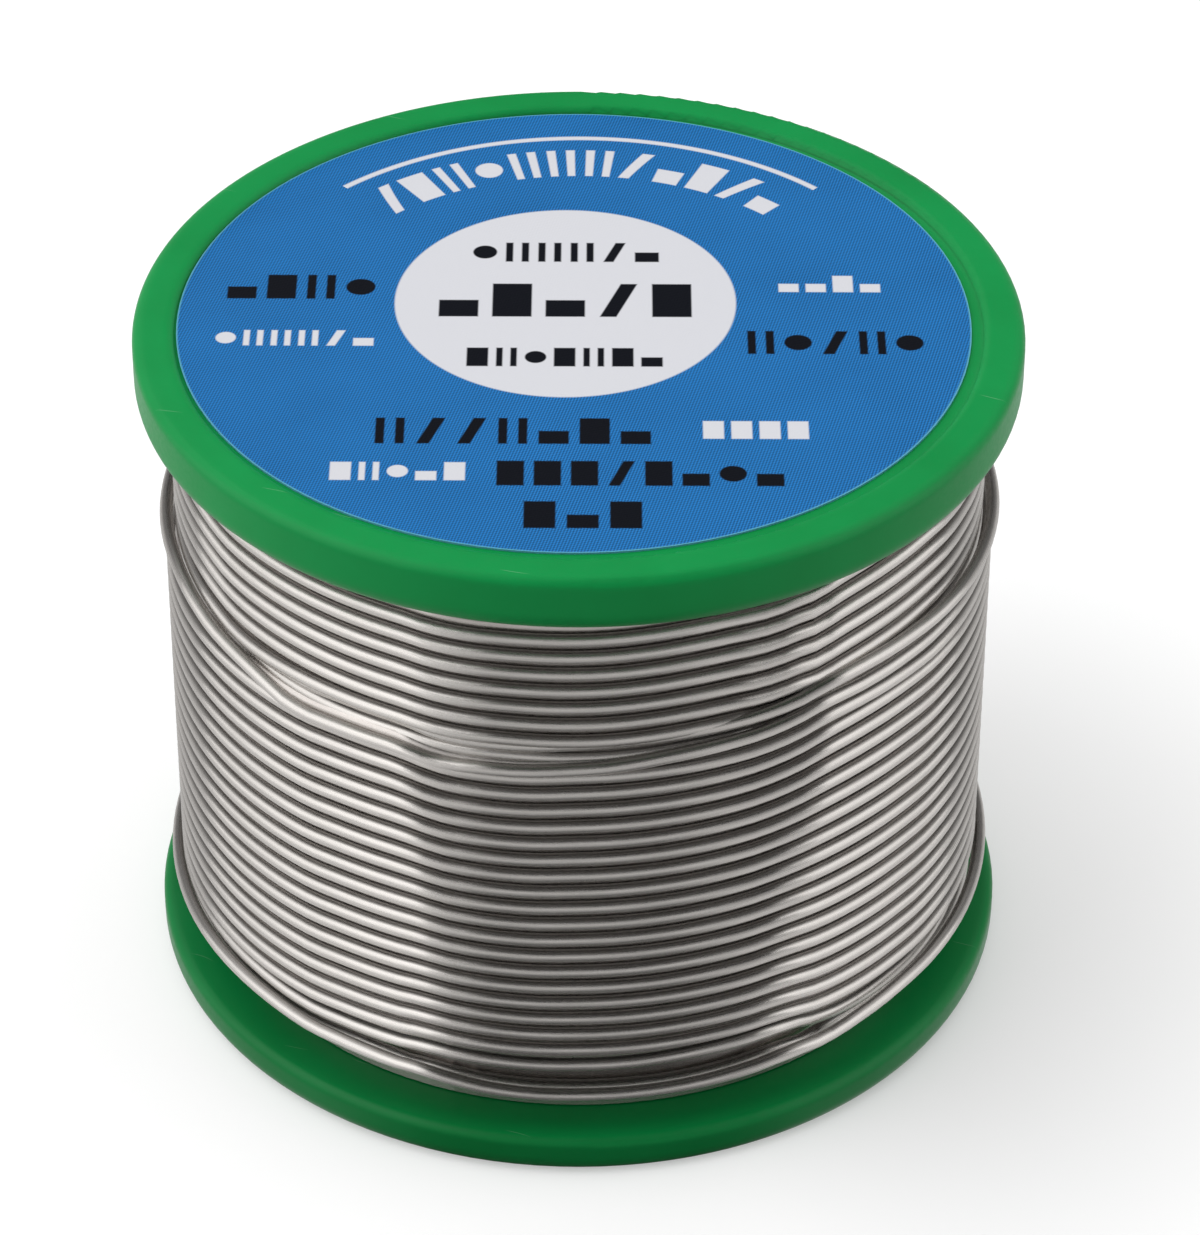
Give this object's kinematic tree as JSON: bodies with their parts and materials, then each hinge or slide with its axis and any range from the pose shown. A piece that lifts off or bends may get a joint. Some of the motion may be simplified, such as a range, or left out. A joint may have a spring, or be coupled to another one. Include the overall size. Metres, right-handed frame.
{
  "type": "solder wire spool",
  "caption": "Round plastic reel with solder wire wound on its barrel, a round label in the upper flange and a bore for the spindle of a reel stand.",
  "frame": {"origin": "centre of the underside of the lower flange, where the reel stands", "axes": "+Z along the spindle axis, from the lower flange to the labelled upper flange; -Y is the side that faces the viewer who reads the label"},
  "size_m": [0.065, 0.065, 0.0544],
  "materials": {
    "reel_green": "moulded, semi-gloss",
    "label_film": "printed, satin",
    "solder_wire": "drawn tin alloy, bright"
  },
  "bodies": {
    "root": {"reel_body": "reel_green", "upper_flange": "reel_green", "face_label": "label_film", "wire_start": "solder_wire", "wire_inner_layers": "solder_wire", "wire_open_turns": "solder_wire", "wire_outer_layer": "solder_wire"}
  },
  "joints": []
}
